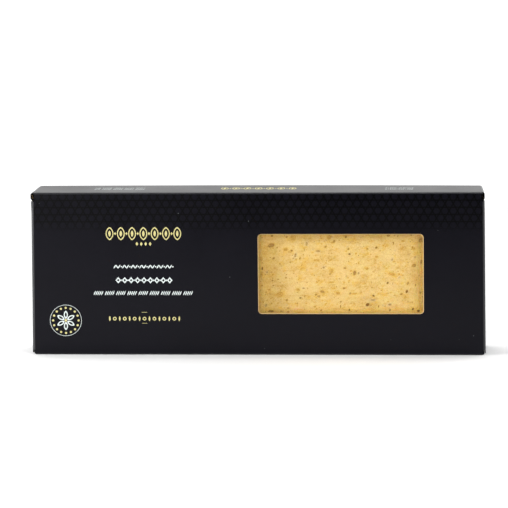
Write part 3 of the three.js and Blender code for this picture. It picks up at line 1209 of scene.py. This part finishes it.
def gold_foil():
    tones = {"dark": (0.58, 0.51, 0.20), "light": (0.68, 0.63, 0.29)}
    grain = {"grain": (0.6, 3.0), "span": (0.3, 0.7), "relief": 0.01}
    return grained("gold_foil", **grain, **tones, roughness=(0.4, 0.5), Metallic=0.35)


def white_ink():
    tones = {"dark": (0.58, 0.64, 0.63), "light": (0.72, 0.78, 0.76)}
    grain = {"grain": (0.4, 3.0), "span": (0.3, 0.75), "relief": 0.008}
    return grained("white_ink", **grain, **tones, roughness=0.55, Specular_IOR_Level=0.3)


def clear_film():
    surface = Surface("clear_film")
    roughness = surface.ramp(surface.noise(9.0, 3.0), 0.3, 0.7, 0.05, 0.12)
    surface.set(Base_Color=(0.2, 0.2, 0.2, 1.0), Roughness=roughness, Alpha=0.03)
    surface.bump(surface.noise(14.0, 1.0), 0.06)
    return surface.material


def speckle(surface, spacing, chosen, size, stretch=EVEN):
    """Small soft spots at some of a grid of scattered places, as a share from 0 to 1."""
    distance, draw = surface.cells(spacing, stretch)
    reach = surface.ramp(draw, 1 - chosen, 1.0, 0.55 * size / spacing, size / spacing)
    is_chosen = surface.math("GREATER_THAN", draw, 1 - chosen)
    spot = surface.ramp(distance, surface.math("MULTIPLY", reach, 0.3), reach, 1.0, 0.0)
    return surface.math("MULTIPLY", spot, is_chosen)


# How the nougat darkens: clean cream, ochre, honey, toasted brown and almond skin.
NOUGAT_TONES = (
    (0.0, (0.83, 0.615, 0.24)),
    (0.22, (0.76, 0.51, 0.165)),
    (0.45, (0.63, 0.37, 0.08)),
    (0.7, (0.42, 0.22, 0.04)),
    (1.0, (0.21, 0.105, 0.018)),
)
OIL_AND_EDGE_SHADE_TINT = (0.99, 0.87, 0.43)  # what the oily stains and the painted edge shade leave of each colour
PAINTED_LIGHT_LIFT = (1.14, 1.13, 1.08)  # and how far the painted light by the window's lower edge lifts it


def nougat_tone(surface):
    """How dark the nougat is at each point, from 0 to 1: mottled, streaked, specked and stained."""
    mottle = surface.noise(7.0, 4.0, 0.6, (1.0, 1.0, 1.2))
    streaks = surface.noise(3.0, 3.0, 0.6, (0.5, 1.0, 1.6))
    crumb = surface.noise(0.9, 4.0, 0.75)
    tone = surface.ramp(mottle, 0.42, 0.78, 0.0, 0.26)
    tone = surface.math("ADD", tone, surface.ramp(streaks, 0.5, 0.8, 0.0, 0.2))
    tone = surface.math("ADD", tone, surface.ramp(crumb, 0.42, 0.72, 0.0, 0.27))
    spots = (
        (speckle(surface, 1.3, 0.36, 0.38), 0.9),
        (speckle(surface, 2.4, 0.35, 0.6, (1.0, 0.97, 1.1)), 0.62),
        (speckle(surface, 4.6, 0.45, 1.7, (0.8, 1.0, 1.25)), 0.36),
        (surface.attribute("orange"), 0.42),
        (surface.attribute("toasted"), 0.6),
        (surface.attribute("skin"), 0.9),
    )
    for share, depth in spots:
        tone = surface.math("MAXIMUM", tone, surface.math("MULTIPLY", share, depth))
    return tone


def nougat_cream():
    """Cream-yellow nougat with almond stains, oily seep and skin specks, and painted edge shade and
    light.
    """
    surface = Surface("nougat")
    colour = surface.tones(nougat_tone(surface), NOUGAT_TONES)
    halos = (("pale_halo", 0.5, (0.80, 0.60, 0.30)), ("pale", 0.7, (0.50, 0.33, 0.14)))
    for name, share, shade in halos:
        amount = surface.math("MULTIPLY", surface.attribute(name), share)
        colour = surface.mix(amount, colour, shade)
    patches = surface.noise(4.5, 3.0, 0.6, (0.8, 1.0, 1.2))
    seep = surface.ramp(patches, 0.5, 0.7, 0.0, 0.9)
    pooled = surface.ramp(patches, 0.35, 0.65, 0.55, 1.0)
    # The oily stains carry the painted warm shade along the window's edges too.
    oil_and_edge_shade = surface.math("MULTIPLY", surface.attribute("oil_and_edge_shade"), pooled)
    colour = surface.mix(surface.math("MAXIMUM", oil_and_edge_shade, seep), colour, OIL_AND_EDGE_SHADE_TINT, "MULTIPLY")
    # Painted light lifts the colour by the window's lower edge.
    colour = surface.mix(surface.attribute("painted_light"), colour, PAINTED_LIGHT_LIFT, "MULTIPLY")
    grain = surface.noise(0.6, 4.0, 0.75)
    surface.set(
        Base_Color=colour,
        Roughness=surface.ramp(grain, 0.3, 0.7, 0.48, 0.65),
        Specular_IOR_Level=0.15,
        Subsurface_Weight=0.6,
        Subsurface_Radius=(1.0, 0.5, 0.13),
        Subsurface_Scale=2.4 * MM,
    )
    surface.bump(grain, 0.4)
    return surface.material


def almond_material(kind, dark, light):
    grain = {"grain": (0.9, 3.0, 0.6, (0.6, 1.0, 1.4)), "span": (0.35, 0.65), "relief": 0.06}
    finish = {"roughness": 0.55, "Specular_IOR_Level": 0.15}
    return grained(f"almond_{kind}", **grain, dark=dark, light=light, **finish)


ALMONDS = {
    "toasted": ((0.36, 0.17, 0.026), (0.53, 0.30, 0.06)),
    "orange": ((0.56, 0.29, 0.04), (0.72, 0.42, 0.085)),
    "skin": ((0.20, 0.092, 0.010), (0.35, 0.175, 0.022)),
    "pale": ((0.42, 0.23, 0.055), (0.60, 0.37, 0.11)),
}


# ---- Studio ----

IMAGE_SIZE = 508  # the picture's side, in pixels
FOCAL_LENGTH = 3192.5  # in those pixels
SENSOR = 36.0
CAMERA_DISTANCE = 1700.0
CAMERA_TARGET = (-2.75, 0.0, 52.0)
CAMERA_AZIMUTH, CAMERA_ELEVATION, CAMERA_ROLL = 3.53, 9.2, -0.563


def make_camera():
    data = bpy.data.cameras.new("camera")
    data.sensor_width = SENSOR
    data.lens = FOCAL_LENGTH / IMAGE_SIZE * SENSOR
    camera = bpy.data.objects.new("camera", data)
    tilt, azimuth = math.radians(90 - CAMERA_ELEVATION), math.radians(CAMERA_AZIMUTH)
    level = Euler((tilt, 0.0, azimuth)).to_quaternion()
    camera.location = (Vector(CAMERA_TARGET) + level @ Vector((0.0, 0.0, CAMERA_DISTANCE))) * MM
    camera.rotation_euler = (level @ Quaternion((0, 0, 1), math.radians(CAMERA_ROLL))).to_euler()
    bpy.context.scene.collection.objects.link(camera)
    bpy.context.scene.camera = camera


FLOOR_LOW, FLOOR_HIGH = (-900.0, -340.0), (900.0, 520.0)


def make_floor():
    shell = Shell()
    (x0, y0), (x1, y1) = FLOOR_LOW, FLOOR_HIGH
    shell.add_face(shell.add_points([(x0, y0, 0), (x1, y0, 0), (x1, y1, 0), (x0, y1, 0)]))
    surface = Surface("floor")
    surface.set(Base_Color=(0.86, 0.86, 0.86, 1.0), Roughness=0.9, Specular_IOR_Level=0.1)
    shell.make("floor", [surface.material])


def area_light(name, place, target, size, power):
    data = bpy.data.lights.new(name, "AREA")
    data.shape = "RECTANGLE"
    data.size, data.size_y = (side * MM for side in size)
    data.energy = power
    light = bpy.data.objects.new(name, data)
    light.location = Vector(place) * MM
    light.rotation_euler = (Vector(target) - Vector(place)).to_track_quat("-Z", "Y").to_euler()
    bpy.context.scene.collection.objects.link(light)


BACKDROP_LIGHT, RIGHT_WALL_LIGHT = 1.29, 1.2


def make_world():
    """White behind the object and on its right, dark in front, and white to the camera."""
    world = bpy.data.worlds.new("studio")
    surround = Nodes(world)
    direction = surround.add("TexCoord", {}).outputs["Generated"]
    rearward = surround.dot(direction, (0.0, 1.0, 0.0))
    backdrop = surround.ramp(rearward, -0.3, 0.5, 0.0, BACKDROP_LIGHT)
    rightward = surround.dot(direction, (1.0, 0.0, 0.0))
    right_wall = surround.ramp(rightward, 0.3, 0.8, 0.0, RIGHT_WALL_LIGHT)
    camera_ray = surround.add("LightPath", {}).outputs["Is Camera Ray"]
    background = surround.nodes["Background"].inputs
    background["Color"].default_value = (1.0, 1.0, 1.0, 1.0)
    light = surround.math("ADD", backdrop, right_wall)
    surround.put(surround.math("MAXIMUM", light, camera_ray), background["Strength"])
    bpy.context.scene.world = world


def make_lights():
    middle = (0.0, 0.0, 45.0)
    area_light("overhead", (-60.0, 130.0, 1100.0), (0.0, 0.0, 0.0), (400, 120), 2.7)
    area_light("left", (-900.0, -265.0, 310.0), (0.0, 0.0, 30.0), (260, 600), 12.0)
    area_light("front_left", (-430.0, -950.0, 150.0), middle, (350, 300), 1.85)
    area_light("front", (0.0, -800.0, 800.0), middle, (500, 400), 1.7)
    area_light("right", (900.0, -720.0, 640.0), middle, (600, 600), 5.4)


# ---- The scene ----

bpy.context.scene.view_settings.view_transform = "Standard"
make_camera()
make_world()
make_lights()
make_floor()
# The folds' greyer, glossier copies of the board: painted sheen with real gloss.
folded = creased_board_painted_sheen("folded_board_painted_sheen", (0.012, 0.012, 0.015), 0.3)
creased = creased_board_painted_sheen("creased_board_painted_sheen", (0.013, 0.014, 0.017), 0.5)
build_carton([printed_board(), plain_board(), cut_board(), folded, creased])
build_print(gold_foil(), white_ink())
build_film(clear_film())
build_nougat(nougat_cream())
build_chips({kind: almond_material(kind, *tones) for kind, tones in ALMONDS.items()})
